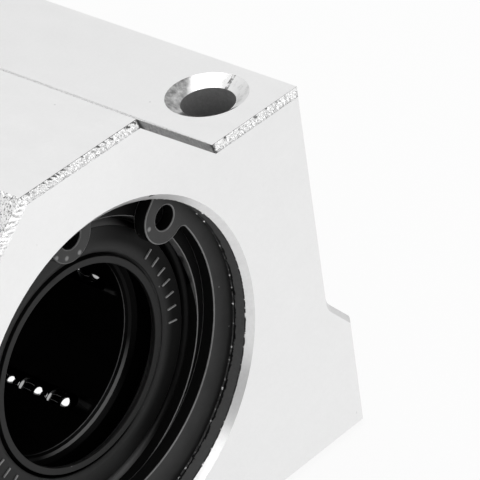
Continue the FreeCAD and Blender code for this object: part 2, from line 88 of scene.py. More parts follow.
class Nodes:
    """Builds one node tree with short calls. Each call gives the output of what it adds."""

    def __init__(self, tree):
        self.tree = tree

    def add(self, kind, **settings):
        """A new node, which is the one call that gives the node itself."""
        node = self.tree.nodes.new(kind)
        for setting, value in settings.items():
            setattr(node, setting, value)
        return node

    def feed(self, socket, value):
        """Gives a socket a number or colour, or links another node's output to it."""
        if isinstance(value, bpy.types.NodeSocket):
            self.tree.links.new(value, socket)
        else:
            socket.default_value = value

    def maths(self, operation, *values):
        node = self.add("ShaderNodeMath", operation=operation)
        for socket, value in zip(node.inputs, values):
            self.feed(socket, value)
        return node.outputs[0]

    def plus(self, first, second):
        return self.maths("ADD", first, second)

    def minus(self, first, second):
        return self.maths("SUBTRACT", first, second)

    def times(self, first, second):
        return self.maths("MULTIPLY", first, second)

    def size(self, value):
        return self.maths("ABSOLUTE", value)

    def above(self, value, limit):
        return self.maths("GREATER_THAN", value, limit)

    def below(self, value, limit):
        return self.maths("LESS_THAN", value, limit)

    def within(self, value, middle, half):
        return self.maths("COMPARE", value, middle, half)

    def outside(self, mask):
        return self.minus(1.0, mask)

    def both(self, *masks):
        """1 where all the masks are."""
        product = masks[0]
        for mask in masks[1:]:
            product = self.times(product, mask)
        return product

    def either(self, *masks):
        """The largest of them, so 1 where any of the masks is."""
        largest = masks[0]
        for mask in masks[1:]:
            largest = self.maths("MAXIMUM", largest, mask)
        return largest

    def span(self, value, low, high, to_low=0.0, to_high=1.0, smooth=True):
        """Takes low to to_low and high to to_high, and holds the value beyond them."""
        if low > high:
            low, high, to_low, to_high = high, low, to_high, to_low
        node = self.add("ShaderNodeMapRange",
                        interpolation_type="SMOOTHSTEP" if smooth else "LINEAR")
        for socket, number in zip(node.inputs, (value, low, high, to_low, to_high)):
            self.feed(socket, number)
        return node.outputs[0]

    def blend(self, share, first, second):
        """Goes from the first number to the second as share goes from 0 to 1."""
        node = self.add("ShaderNodeMix", data_type="FLOAT")
        for socket, value in zip(node.inputs[:1] + node.inputs[2:4], (share, first, second)):
            self.feed(socket, value)
        return node.outputs[0]

    def parts(self, vector):
        """The x, y and z of a vector."""
        node = self.add("ShaderNodeSeparateXYZ")
        self.feed(node.inputs[0], vector)
        return node.outputs

    def reach(self, across, along):
        """The distance of a point from an axis, from its two offsets."""
        offset = self.add("ShaderNodeCombineXYZ")
        self.feed(offset.inputs[0], across)
        self.feed(offset.inputs[1], along)
        length = self.add("ShaderNodeVectorMath", operation="LENGTH")
        self.feed(length.inputs[0], offset.outputs[0])
        return length.outputs["Value"]


class Finish(Nodes):
    """One material, built node by node on the piece's own coordinates."""

    def __init__(self, name, **shader_values):
        self.material = bpy.data.materials.new(name)
        self.material.use_nodes = True
        super().__init__(self.material.node_tree)
        self.shader = self.tree.nodes["Principled BSDF"]
        for setting, value in shader_values.items():
            self.surface(setting.replace("_", " "), value)
        self.place = self.add("ShaderNodeTexCoord").outputs["Object"]
        self.facing = self.add("ShaderNodeNewGeometry").outputs["True Normal"]

    def surface(self, setting, value):
        self.feed(self.shader.inputs[setting], value)

    def colour(self, level):
        """A grey level for all three colours, so that a finish stays neutral."""
        node = self.add("ShaderNodeCombineColor")
        for socket in node.inputs:
            self.feed(socket, level)
        self.surface("Base Color", node.outputs[0])

    def relief(self, height, depth):
        """Fine relief: height runs from 0 to 1, and depth is its size in metres."""
        node = self.add("ShaderNodeBump")
        node.inputs["Strength"].default_value = 1.0
        node.inputs["Distance"].default_value = depth
        self.feed(node.inputs["Height"], height)
        self.surface("Normal", node.outputs[0])

    def attribute(self, name):
        return self.add("ShaderNodeAttribute", attribute_name=name).outputs["Fac"]

    def about_bore(self):
        """How far a point is across and up from the bore's axis, and straight from it."""
        place = self.parts(self.place)
        up = self.minus(place[2], BORE_HEIGHT)
        return place[0], up, self.reach(place[0], up)

    def along_bore(self):
        """How much a face looks along the bore: 0 on its walls and 1 on an end face."""
        return self.size(self.parts(self.facing)[1])

    def stretched(self, scale, turn=(0, 0, 0)):
        """The piece's coordinates, scaled and turned for a pattern with a direction."""
        node = self.add("ShaderNodeMapping")
        self.feed(node.inputs["Vector"], self.place)
        node.inputs["Scale"].default_value = scale
        node.inputs["Rotation"].default_value = [math.radians(angle) for angle in turn]
        return node.outputs[0]

    def grain(self, size, detail=3.0, roughness=0.55, place=None):
        """Cloudy noise whose patches are about size metres across."""
        node = self.add("ShaderNodeTexNoise")
        self.feed(node.inputs["Vector"], place or self.place)
        node.inputs["Scale"].default_value = 1.0 / size
        node.inputs["Detail"].default_value = detail
        node.inputs["Roughness"].default_value = roughness
        return node.outputs[0]

    def sway(self, grain, amount):
        """A grain moved to both sides of nought, amount from lowest to highest."""
        return self.times(self.minus(grain, 0.5), amount)

    def specks(self, size, share, dot=0.2, place=None):
        """Small dots: a share of the cells that are size metres across holds one each."""
        node = self.add("ShaderNodeTexVoronoi")
        self.feed(node.inputs["Vector"], place or self.place)
        node.inputs["Scale"].default_value = 1.0 / size
        picked = self.below(self.parts(node.outputs["Color"])[0], share)
        return self.times(picked, self.span(node.outputs["Distance"], dot, dot * 0.4))


class BlockSurfaces:
    """Masks for the block's own surfaces: each is 1 on that surface and 0 elsewhere."""

    def __init__(self, f):
        self.x, self.up, self.from_bore = f.about_bore()
        y, self.z = f.parts(f.place)[1:]
        face_x, face_y, face_z = (f.size(part) for part in f.parts(f.facing))
        self.face_depth = f.minus(BLOCK_END, f.size(y))
        self.hole_x = f.minus(f.size(self.x), HOLE_X)
        self.hole_y = f.minus(f.size(y), HOLE_Y)
        near_hole = f.below(f.reach(self.hole_x, self.hole_y), COUNTERSINK_RADIUS)
        in_bore = f.below(self.from_bore, MOUTH_RADIUS)
        bevelled = f.within(face_y, **SLOPING)

        self.end_face = f.above(face_y, 0.9)
        self.hole_wall = f.both(near_hole, f.below(face_z, EDGE_ON))
        self.cone = f.both(near_hole, f.within(face_z, **SLOPING))
        self.bore_wall = f.both(in_bore, f.below(face_y, EDGE_ON))
        self.mouth = f.both(in_bore, bevelled)
        self.bevel = f.both(bevelled, f.outside(in_bore), f.outside(near_hole))
        self.flank = f.both(f.within(face_x, 0.65, 0.2), f.above(self.z, SHOULDER - 0.01 * MM))
        self.flank_bevel = f.both(f.within(face_y, 0.64, 0.32),
                                  f.above(self.z, SHOULDER - 0.4 * MM),
                                  f.within(self.x, FLANK_MIDDLE, FLANK_HALF + 0.3 * MM))

        # Two sides of each countersink: towards the block's middle, and away from it
        inwards = f.plus(f.times(self.hole_x, -0.5), f.times(self.hole_y, -0.87))
        self.inner_side = f.span(inwards, 1.5 * MM, 2.2 * MM)
        self.outwards = f.above(self.hole_x, 0.0)
        self.outer_side = f.both(self.outwards, f.span(self.hole_y, -0.2 * MM, 0.0))


def face_level(f, block, fine, nicks):
    """Open faces: pale and even, with painted light making an end face a little lighter at its upper
    left.
    """
    level = f.plus(0.88, f.sway(f.grain(2.6 * MM, 4.0), 0.03))
    level = f.plus(level, f.sway(fine, 0.05))
    # painted light: the end face grows lighter towards its upper left
    lighter = f.both(block.end_face, f.span(f.minus(block.up, block.x), 0.0, 24 * MM))
    level = f.plus(level, f.times(lighter, 0.06))
    return f.blend(f.times(nicks, 0.5), level, 0.5)


def countersink_level(f, block, fine, smudge):
    """Bright turned cones: darker, mottled and matte on the inner side, a little darker on the outer
    side, with chatter where the outer side starts.
    """
    inner_mottle = f.both(block.inner_side, f.span(f.grain(0.6 * MM, 5.0, 0.7), 0.1, 0.72))
    chatter = f.both(block.outwards, f.within(block.hole_y, -0.1 * MM, 0.16 * MM),
                     f.span(fine, 0.35, 0.6))
    dark_patches = f.either(inner_mottle, chatter, f.times(smudge, 0.25))
    return f.blend(dark_patches, f.blend(block.outer_side, 0.86, 0.78), 0.2)


def mouth_level(f, block, fine, smudge):
    """The turned mouth of the bore: shaded at its foot at the left, and even at the right."""
    shaded = f.span(block.from_bore, 14.08 * MM, 14.45 * MM, 0.62, 1.0)
    turned = f.blend(f.span(block.x, 3 * MM, 9 * MM), shaded, f.blend(fine, 0.84, 1.0))
    return f.blend(f.times(smudge, 0.15), turned, 0.6)


def flank_bevel_level(f, block):
    """The bevel where the right flank meets an end face: mottled dark grey as a painted dark
    reflection, and darker at both its ends as painted shade.
    """
    from_middle = f.size(f.minus(block.x, FLANK_MIDDLE))
    shaded_ends = f.span(from_middle, FLANK_HALF - 0.5 * MM, FLANK_HALF)
    return f.blend(shaded_ends, f.blend(f.grain(0.2 * MM, 3.0), 0.15, 0.6), 0.04)


def bore_wall_level(f, block, fine):
    """The bore's wall: grey near the mouth, that grey partly painted shade, and painted shade makes
    it dark in its roof and past a ragged edge.
    """
    # painted shade: the roof and the wall past the ragged edge go dark
    roof = f.span(block.up, 9.8 * MM, 11.6 * MM)
    ragged = f.plus(block.face_depth, f.times(f.grain(0.7 * MM, 4.0, 0.7), 0.7 * MM))
    deep = f.span(ragged, 1.84 * MM, 1.9 * MM)
    return f.blend(f.either(roof, deep), f.blend(fine, 0.14, 0.22), 0.005)


def block_roughness(f, block):
    faint = f.grain(0.8 * MM, 4.0, 0.65, f.stretched((1.0, 0.2, 1.0)))
    rough = f.plus(0.34, f.sway(faint, 0.12))
    worn_cone = f.blend(f.either(block.inner_side, block.outer_side), 0.2, 0.6)
    rough = f.blend(block.cone, rough, worn_cone)
    rough = f.blend(block.mouth, rough, 0.24)
    return f.blend(f.either(block.hole_wall, block.flank), rough, 0.5)


def block_relief(f, block, fine, nicks):
    """Nicks in the faces, drill rings in the screw holes and coarse grain on the flanks."""
    rings = f.maths("SINE", f.times(block.z, 2 * math.pi / (0.22 * MM)))
    height = f.plus(fine, f.times(nicks, -0.9))
    height = f.blend(block.mouth, height, fine)
    height = f.blend(block.hole_wall, height, f.times(rings, 0.8))
    return f.blend(block.flank, height, f.times(f.grain(0.3 * MM, 2.0), 4.0))


def satin_aluminium():
    """The machined block: pale satin faces, bright countersinks and dull, dark holes."""
    f = Finish("satin aluminium", Metallic=1.0)
    block = BlockSurfaces(f)
    fine = f.grain(0.28 * MM, 3.0, 0.7)
    smudge = f.span(f.grain(0.75 * MM, 5.0, 0.7), 0.5, 0.68)
    nicks = f.specks(1.1 * MM, 0.10, 0.10, f.stretched((1.0, 1.0, 0.45), (0, 24, 0)))
    nicks = f.both(nicks, f.above(block.from_bore, MOUTH_RADIUS + 0.6 * MM))

    level = face_level(f, block, fine, nicks)
    own_levels = ((block.cone, countersink_level(f, block, fine, smudge)),
                  (block.mouth, mouth_level(f, block, fine, smudge)),
                  # painted dark reflection: the bevels are greyer than the faces
                  (block.bevel, 0.72),
                  (block.flank_bevel, flank_bevel_level(f, block)),
                  (block.bore_wall, bore_wall_level(f, block, fine)),
                  (block.hole_wall, f.blend(fine, 0.2, 0.36)))
    for surface, own_level in own_levels:
        level = f.blend(surface, level, own_level)
    f.colour(level)

    dull = f.either(block.hole_wall, block.bore_wall, block.mouth)
    matte_inner_cone = f.both(block.cone, block.inner_side)
    f.surface("Metallic", f.blend(matte_inner_cone, f.blend(dull, 1.0, 0.3), 0.0))
    f.surface("Specular IOR Level", f.blend(matte_inner_cone, 0.5, 0.05))
    f.surface("Roughness", block_roughness(f, block))
    f.relief(block_relief(f, block, fine, nicks), 0.004 * MM)
    return f.material


def torn_aluminium():
    """Burrs: bright crests, with painted shade darkening their pits."""
    f = Finish("torn aluminium", Metallic=0.75)
    fine = f.grain(0.13 * MM, 4.0, 0.7)
    pit_shade = f.span(f.plus(f.attribute("pit"), f.sway(fine, 0.6)), 0.42, 0.9)
    f.colour(f.blend(pit_shade, 0.86, 0.12))
    f.surface("Roughness", f.blend(pit_shade, 0.4, 0.6))
    f.relief(fine, 0.012 * MM)
    return f.material


def sawn_aluminium():
    """The rough sloping flanks: white crests over many small dull pits, set by a noise, with a
    little painted shade in the low places.
    """
    f = Finish("sawn aluminium", Metallic=1.0)
    fine = f.grain(0.13 * MM, 2.0, 0.6)
    # partly painted shade: the pit depth darkens the low places a little
    dull = f.span(f.plus(f.times(f.attribute("pit"), 0.1), fine), 0.52, 0.7)
    f.colour(f.blend(dull, 0.93, 0.2))
    f.surface("Roughness", f.blend(dull, 0.36, 0.55))
    f.relief(fine, 0.01 * MM)
    return f.material


# Painted highlights on the circlips' lugs: across and up from the axis, in millimetres
CIRCLIP_HIGHLIGHTS = ((-2.16, 11.56), (-1.21, 11.01), (0.08, 10.80), (7.12, 8.78))


def blackened_spring_steel():
    """The circlips: black oxide under oil, with painted shade on their walls, painted highlights on
    the lugs and a few bright wear specks.
    """
    f = Finish("blackened spring steel", Specular_IOR_Level=0.15)
    x, up, _ = f.about_bore()
    fine = f.grain(0.22 * MM, 3.0, 0.7)
    wear_and_highlights = f.specks(0.4 * MM, 0.02)
    for highlight_across, highlight_up in CIRCLIP_HIGHLIGHTS:
        to_highlight = f.reach(f.minus(x, highlight_across * MM), f.minus(up, highlight_up * MM))
        wear_and_highlights = f.either(wear_and_highlights, f.span(to_highlight, 0.26 * MM, 0.08 * MM))
    level = f.blend(f.grain(1.8 * MM, 4.0), 0.045, 0.075)
    # painted shade: the walls are much darker than the faces
    level = f.blend(f.below(f.along_bore(), EDGE_ON), level, 0.006)
    f.colour(f.blend(f.times(wear_and_highlights, 0.8), level, 0.35))
    f.surface("Roughness", f.blend(fine, 0.3, 0.48))
    f.relief(fine, 0.006 * MM)
    return f.material


def seal_rubber():
    """Black nitrile with a slight bloom and a few grains of dust, and painted light and shade: shade
    on the outer face at the right, in the lip groove at the left and on the chamfer at the right,
    light on the rim at the left.
    """
    f = Finish("black seal rubber", Specular_IOR_Level=0.3)
    x, _, from_bore = f.about_bore()
    bloom = f.grain(2.2 * MM, 4.0)
    fine = f.grain(0.12 * MM, 3.0, 0.7)
    dust = f.specks(0.45 * MM, 0.015)
    # painted shade: the lip groove is black at the left only
    shaded_lip_groove = f.both(f.span(from_bore, 8.54 * MM, 8.58 * MM),
                        f.span(from_bore, 8.9 * MM, 8.78 * MM), f.span(x, 6.0 * MM, 3.0 * MM))
    shaded = f.both(f.span(x, 1.0 * MM, 6.0 * MM), f.span(from_bore, 9.2 * MM, 10.0 * MM))
    # painted shade: the chamfer at the right loses its gloss
    chamfer = f.both(f.span(x, 0.0, 4.0 * MM), f.span(from_bore, 11.1 * MM, 11.3 * MM))
    # painted light: the rim slope at the left is greyed
    rim = f.both(f.below(f.along_bore(), 0.7), f.span(x, 7.5 * MM, 4.5 * MM),
                 f.span(from_bore, 10.6 * MM, 10.8 * MM))
    level = f.blend(shaded, f.blend(bloom, 0.006, 0.014), 0.003)
    level = f.blend(shaded_lip_groove, f.blend(rim, level, 0.2), 0.0)
    f.colour(f.blend(f.times(dust, 0.5), level, 0.3))
    shine = f.blend(chamfer, f.blend(shaded, 0.3, 0.11), 0.01)
    f.surface("Specular IOR Level", f.blend(shaded_lip_groove, shine, 0.0))
    f.surface("Roughness", f.blend(bloom, 0.42, 0.55))
    f.relief(fine, 0.005 * MM)
    return f.material


def lit_bar_rubber():
    """The seal's moulded bars, grey all over as painted light for the highlights along them."""
    f = Finish("lit seal bar rubber", Specular_IOR_Level=0.5, Roughness=0.35)
    f.colour(f.blend(f.grain(0.3 * MM, 3.0), 0.2, 0.4))
    return f.material


def cage_plastic():
    """The black acetal ball retainer, slightly glossy from the mould, with a painted glint at the
    lower right of its mouth.
    """
    f = Finish("black cage plastic", Specular_IOR_Level=0.03)
    x, up, from_bore = f.about_bore()
    flow = f.grain(1.5 * MM, 4.0, 0.6, f.stretched((1.0, 0.25, 1.0)))
    # painted highlight on the mouth at the lower right
    towards_lower_right = f.minus(f.times(x, 0.4), f.times(up, 0.92))
    glint = f.both(f.within(f.along_bore(), **SLOPING),
                   f.span(towards_lower_right, 5.8 * MM, 8.4 * MM, 0.05, 1.0),
                   f.within(from_bore, 8.44 * MM, 0.09 * MM))
    f.colour(f.blend(glint, f.blend(flow, 0.001, 0.003), 0.26))
    f.surface("Roughness", f.blend(flow, 0.28, 0.4))
    f.relief(f.grain(0.1 * MM, 2.0), 0.003 * MM)
    return f.material


def lit_to_the_right(f, dimmest):
    """Painted light on an edge: dimmest at the left of a ring, brightest at its right."""
    return f.span(f.about_bore()[0], -6 * MM, 11 * MM, dimmest, 1.6)


def lit_below_right(f):
    """Painted highlight at the lower right of the retainer's mouth, on the inner of its edges only.
    """
    x, up, from_bore = f.about_bore()
    return f.both(f.span(f.minus(x, up), 3 * MM, 10 * MM, 0.25, 1.8),
                  f.span(from_bore, 8.6 * MM, 8.5 * MM))


def highlighted_edge(name, level, shine, dimmest=0.5, low_side=False):
    """The round along an edge of a dark piece, painted grey as a highlight.

    Level is how grey it is, shine its gloss, and dimmest its painted light at the left of the ring.
    With low_side the painted light is at the lower right of the retainer's mouth instead.
    """
    f = Finish(name, Specular_IOR_Level=shine, Roughness=0.3)
    edge_light = lit_below_right(f) if low_side else lit_to_the_right(f, dimmest)
    patchy = f.blend(f.grain(0.5 * MM, 3.0), 0.6 * level, 1.4 * level)
    f.colour(f.times(edge_light, patchy))
    return f.material


def lit_sleeve_end(f, y, wall):
    """What light reaches at a sleeve's end: its face, and a crescent on the wall inside it."""
    x, up, _ = f.about_bore()
    from_end = f.minus(SLEEVE_END, f.size(y))
    lit_depth = f.span(up, -3.5 * MM, 5.0 * MM, 0.0, 0.85 * MM)
    crescent = f.both(wall, f.span(f.minus(lit_depth, from_end), -0.04 * MM, 0.04 * MM))
    end_face = f.both(f.outside(wall), f.span(x, 5.0 * MM, 0.0))
    return f.either(crescent, end_face)


def ground_sleeve_steel():
    """The hardened sleeve: bright ground outside, dark races and ends, and painted light where light
    reaches its ends.
    """
    f = Finish("ground sleeve steel", Metallic=1.0)
    y = f.parts(f.place)[1]
    near_end = f.span(f.size(y), SLEEVE_END - 3.7 * MM, SLEEVE_END - 3.6 * MM)
    dark_part = f.either(near_end, f.below(f.about_bore()[2], 11.6 * MM))
    lit = lit_sleeve_end(f, y, f.below(f.along_bore(), EDGE_ON))
    lay = f.grain(0.1 * MM, 3.0, 0.6, f.stretched((1.0, 8.0, 1.0)))
    speck = f.grain(0.3 * MM, 4.0, 0.7)
    dark_level = f.blend(lit, 0.006, f.blend(speck, 0.03, 0.24))
    f.colour(f.blend(dark_part, f.blend(lay, 0.5, 0.62), dark_level))
    f.surface("Metallic", f.blend(dark_part, 1.0, 0.0))
    f.surface("Specular IOR Level", f.blend(dark_part, 0.5, f.blend(lit, 0.05, 0.3)))
    f.surface("Roughness", f.blend(dark_part, 0.22, f.blend(speck, 0.35, 0.55)))
    f.relief(f.blend(dark_part, lay, speck), 0.004 * MM)
    return f.material


def bearing_ball_steel():
    """The polished balls, with a faint haze."""
    f = Finish("polished ball steel", Metallic=1.0)
    haze = f.grain(0.9 * MM, 3.0)
    f.colour(f.blend(haze, 0.42, 0.46))
    f.surface("Roughness", f.blend(haze, 0.05, 0.1))
    return f.material


def wire_ring_steel():
    """The drawn wire stop rings: black, with painted light greying them at the left."""
    f = Finish("drawn wire steel", Specular_IOR_Level=0.06)
    drawn = f.grain(0.2 * MM, 3.0)
    unlit_right = f.span(f.about_bore()[0], 2.0 * MM, 7.0 * MM)
    f.colour(f.blend(unlit_right, 0.12, f.blend(drawn, 0.004, 0.01)))
    f.surface("Roughness", f.blend(drawn, 0.25, 0.35))
    f.relief(drawn, 0.004 * MM)
    return f.material


ALUMINIUM = satin_aluminium()
TORN = torn_aluminium()
SAWN = sawn_aluminium()
CIRCLIP_BLACK = blackened_spring_steel()
RUBBER = seal_rubber()
LIT_BAR_RUBBER = lit_bar_rubber()
CAGE = cage_plastic()
SLEEVE = ground_sleeve_steel()
BALLS = bearing_ball_steel()
WIRE = wire_ring_steel()
# The edges' grey is painted highlight, lighter towards the right of each ring
CIRCLIP_EDGE = highlighted_edge("highlighted circlip edge", 0.14, 0.6)
RUBBER_EDGE = highlighted_edge("highlighted seal edge", 0.012, 0.12)
CAGE_EDGE = highlighted_edge("highlighted cage edge", 0.09, 0.12, low_side=True)
SLEEVE_EDGE = highlighted_edge("highlighted sleeve edge", 0.15, 0.3, dimmest=0.0)


# ---------------------------------------------------------------- pieces

def dress(node, material):
    """Gives a CAD node its finish."""
    slots = frame["nodes"][node].data.materials
    slots.clear()
    slots.append(material)


def new_piece(name, shape, material, replaced=()):
    """Turns a finished bmesh into a piece of the block that stays in the part's own frame."""
    mesh = bpy.data.meshes.new(name)
    shape.to_mesh(mesh)
    shape.free()
    mesh.materials.append(material)
    piece = bpy.data.objects.new(name, mesh)
    bpy.context.scene.collection.objects.link(piece)
    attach(piece, "root")
    if replaced:
        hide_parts(*replaced)
    return piece


def from_axis(spot):
    return math.hypot(spot.x, spot.z - BORE_HEIGHT)


def softened(name, node, radius, material, edge, picks=lambda middle: True, mend=None):
    """A copy of a CAD node with its sharp edges broken by a small round of another finish.

    Picks says by its middle whether an edge is rounded, and mend moves a vertex first.
    """
    shape = bmesh.new()
    shape.from_mesh(frame["nodes"][node].data)
    bmesh.ops.remove_doubles(shape, verts=shape.verts, dist=1e-6)
    if mend:
        for vert in shape.verts:
            mend(vert.co)
    bmesh.ops.dissolve_limit(shape, angle_limit=math.radians(0.6), verts=shape.verts,
                             edges=shape.edges)
    sharp = [edge for edge in shape.edges
             if len(edge.link_faces) == 2
             and edge.calc_face_angle(0.0) > math.radians(28)
             and picks((edge.verts[0].co + edge.verts[1].co) / 2)]
    rounds = bmesh.ops.bevel(shape, geom=sharp, offset=radius, offset_type="OFFSET", affect="EDGES",
                             segments=2, profile=0.5, material=-1, clamp_overlap=True)
    for face in shape.faces:
        face.smooth = True
    for face in rounds["faces"]:
        face.material_index = 1
    piece = new_piece(name, shape, material, [node])
    piece.data.materials.append(edge)
    piece.data.set_sharp_from_angle(angle=math.radians(50))
    flat_faces = piece.modifiers.new("flat faces", "WEIGHTED_NORMAL")
    flat_faces.keep_sharp = True
    flat_faces.weight = 90
    return piece


def close_lip_groove(spot):
    """Lifts the outer side of a seal's lip groove, so that it reads as a narrow slit."""
    if 8.8 < from_axis(spot) / MM < 8.95 and abs(spot.y) < SEAL_FACE - 0.4 * MM:
        spot.y = math.copysign(SEAL_FACE - 0.08 * MM, spot.y)


def clear_of_lip(middle):
    return not 8.6 < from_axis(middle) / MM < 9.5


def at_sleeve_end(middle):
    return abs(middle.y) > SLEEVE_END - 0.05 * MM


def at_retainer_end(middle):
    return abs(middle.y) > RETAINER_END - 0.8 * MM


def skirted_grid(along_count, across_count, place):
    """A fine grid closed by a skirt and a floor.

    For u and v from 0 to 1, place gives the top, the floor below it and how deep in a pit it is.
    """
    shape = bmesh.new()
    bmesh.ops.create_grid(shape, x_segments=along_count, y_segments=across_count, size=0.5)
    pit = shape.verts.layers.float.new("pit")
    floor_below = {}
    for vert in shape.verts:
        vert.co, floor_below[vert], vert[pit] = place(vert.co.x + 0.5, vert.co.y + 0.5)
    rim = [edge for edge in shape.edges if edge.is_boundary]
    rim_verts = dict.fromkeys(vert for edge in rim for vert in edge.verts)
    floors = [floor_below[vert] for vert in rim_verts]
    skirt = bmesh.ops.extrude_edge_only(shape, edges=rim)["geom"]
    for vert in skirt:
        if isinstance(vert, bmesh.types.BMVert):
            vert.co = min(floors, key=lambda spot: (spot - vert.co).length_squared)
    bmesh.ops.holes_fill(shape, edges=[e for e in shape.edges if e.is_boundary], sides=0)
    bmesh.ops.recalc_face_normals(shape, faces=shape.faces)
    return shape


def burr_strip(name, brow, foot, outward, seed, rise, pit_shade, fade, shaded_end):
    """Torn metal along one bevelled edge of an end face, standing within the old corner.

    Brow and foot are the two ends of its upper and lower edge. Rise scales its height, pit_shade
    is how dark the painted shade in its pits is, and fade how soon it grows lighter towards the end
    face. Painted shade darkens the strip at its start where shaded_end is 0, and at its far end
    where it is 1.
    """
    width = abs((foot[0] - brow[0]).dot((brow[1] - brow[0]).cross(outward).normalized()))
    length = (brow[1] - brow[0]).length
    steps = max(8, round(length / (0.07 * MM)))
    rows = 12

    def place(u, v):
        down = v * width
        spot = Vector((u * length / (0.22 * MM) + down / (0.24 * MM), down / (0.36 * MM), seed))
        tear = noise.noise(spot) + 0.45 * noise.noise(spot * 2.7)
        low_place = 0.5 - 0.5 * noise.noise(Vector((u * length / (1.7 * MM), seed, 3.1)))
        height = (0.055 + 0.11 * tear * (0.55 + low_place)) * rise * (1.0 - v ** 3) * MM
        room = 0.9 * min(down, width - down, min(u, 1.0 - u) * length)
        height = max(0.004 * MM, height)
        height = min(height, room + 0.001 * MM) if room > 0 else 0.0
        surface = brow[0].lerp(brow[1], u).lerp(foot[0].lerp(foot[1], u), v)
        # painted shade: dark in the low places and towards the shaded end
        depth = pit_shade * (1.0 - fade * v) * (1.0 - min(1.0, height / (0.075 * rise * MM)))
        depth = max(depth, 1.0 - abs(u - shaded_end) * length / (0.45 * MM) + 0.5 * tear)
        return surface + outward * height, surface - outward * BURR_ROOT, depth

    return new_piece(name, skirted_grid(steps, rows, place), TORN)


# The torn edges of an end face, by their number from the right shoulder round to the left.
# Each has its name, rise, pit shade, fade and shaded end; the last three set painted shade. Edge 1,
# the right flank, has no burr.
TORN_EDGES = {
    0: ("right_shoulder", 1.0, 0.9, 0.5, 1.0),
    2: ("crown", 0.75, 1.5, 1.1, 0.0),
    3: ("left_flank", 0.35, 0.55, 0.9, 1.0),
    4: ("left_shoulder", 1.0, 0.9, 0.5, 0.0),
}


def end_burrs(end, label):
    """Burrs round one end of the block: crown, left flank and shoulders, mitred at the corners."""
    corners = [(SHOULDER_HALF, SHOULDER), (FOOT_HALF, SHOULDER), (CROWN_HALF, CROWN_TOP),
               (-CROWN_HALF, CROWN_TOP), (-FOOT_HALF, SHOULDER), (-SHOULDER_HALF, SHOULDER)]
    corners = [Vector((x, 0, z)) for x, z in corners]
    runs = [(b - a).normalized() for a, b in zip(corners, corners[1:])]
    ups = [Vector((1, 0, 0))] + [Vector((run.z, 0, -run.x)) for run in runs] + [Vector((-1, 0, 0))]
    feet = [corner - (a + b) * END_BEVEL / (1 + a.dot(b))
            for corner, a, b in zip(corners, ups, ups[1:])]
    outside = Vector((0, math.copysign(1.0, end), 0))
    for number, (name, rise, pit_shade, fade, shaded_end) in TORN_EDGES.items():
        brow = [corner + outside * (abs(end) - END_BEVEL) for corner in corners[number:number + 2]]
        foot = [corner + outside * abs(end) for corner in feet[number:number + 2]]
        burr_strip(f"{label}_{name}_burr", brow, foot, (ups[number + 1] + outside).normalized(),
                   number * 7.3 + end * 900, rise, pit_shade, fade, shaded_end)


def ring_burr(name, end, depth, width, rise, seed):
    """A ragged rim round the bore, depth in from an end face: it stands inwards from the wall."""
    side = math.copysign(1.0, end)
    sections = 900
    shape = bmesh.new()
    pit = shape.verts.layers.float.new("pit")
    crest = [(share * width, SEAT_RADIUS) for share in (0.0, 0.25, 0.5, 0.75, 1.0)]
    root = [(along, SEAT_RADIUS + BURR_ROOT) for along in (width, 0.0)]
    section = [shape.verts.new((0, along, radius)) for along, radius in crest + root]
    edges = [shape.edges.new(pair) for pair in zip(section, section[1:] + section[:1])]
    bmesh.ops.spin(shape, geom=section + edges, cent=(0, 0, 0), axis=(0, 1, 0), dvec=(0, 0, 0),
                   angle=2 * math.pi, steps=sections, use_merge=True, use_duplicate=False)
    for vert in shape.verts:
        ray = Vector((vert.co.x, 0, vert.co.z))
        in_root = ray.length > SEAT_RADIUS + BURR_ROOT / 2
        ray.normalize()
        spot = ray * SEAT_RADIUS / (0.35 * MM) + Vector((0, 0, seed))
        tall = max(0.0, noise.noise(spot) + 0.5 * noise.noise(spot * 2.9) + 0.1)
        sway = 0.25 * noise.noise(spot * 1.7)
        share = vert.co.y / width
        height = rise * tall * (1.0 - (2 * share - 1.0) ** 2) + 0.002 * MM
        if in_root:
            height = -BURR_ROOT
        y = side * (abs(end) - depth - width * (share + sway))
        vert.co = Vector((0, y, BORE_HEIGHT)) + ray * (SEAT_RADIUS - height)
        # pit feeds the torn finish's painted shade in the low places
        vert[pit] = 1.25 - tall
    bmesh.ops.recalc_face_normals(shape, faces=shape.faces)
    return new_piece(name, shape, TORN)


def sawn_flank(name, side):
    """The rough skin of one sloping flank of the crown."""
    foot = Vector((side * FOOT_HALF, 0, SHOULDER))
    brow = Vector((side * CROWN_HALF, 0, CROWN_TOP))
    slope = brow - foot
    outward = Vector((side * slope.z, 0, abs(slope.x))).normalized()
    reach = BLOCK_END - END_BEVEL
    width = slope.length

    def place(u, v):
        y = -reach + 2 * reach * u
        climb = v * width
        spot = Vector((y / (0.30 * MM), climb / (0.36 * MM), side * 5.0))
        coarse = noise.noise(spot)
        chip = noise.noise(spot * 2.3 + Vector((0, 0, 9)))
        height = (0.028 + 0.034 * coarse + 0.016 * chip) * MM
        room = 0.5 * min(climb, width - climb, reach - abs(y))
        height = min(max(0.003 * MM, height), room + 0.002 * MM)
        surface = foot + slope * v + Vector((0, y, 0))
        top = surface + outward * height
        top.z = min(top.z, CROWN_TOP)
        # pit feeds a little painted shade into the sawn finish's low places
        pit = 1.0 - min(1.0, height / (0.045 * MM))
        return top, surface - outward * SKIN_ROOT, pit

    return new_piece(name, skirted_grid(300, 62, place), SAWN)


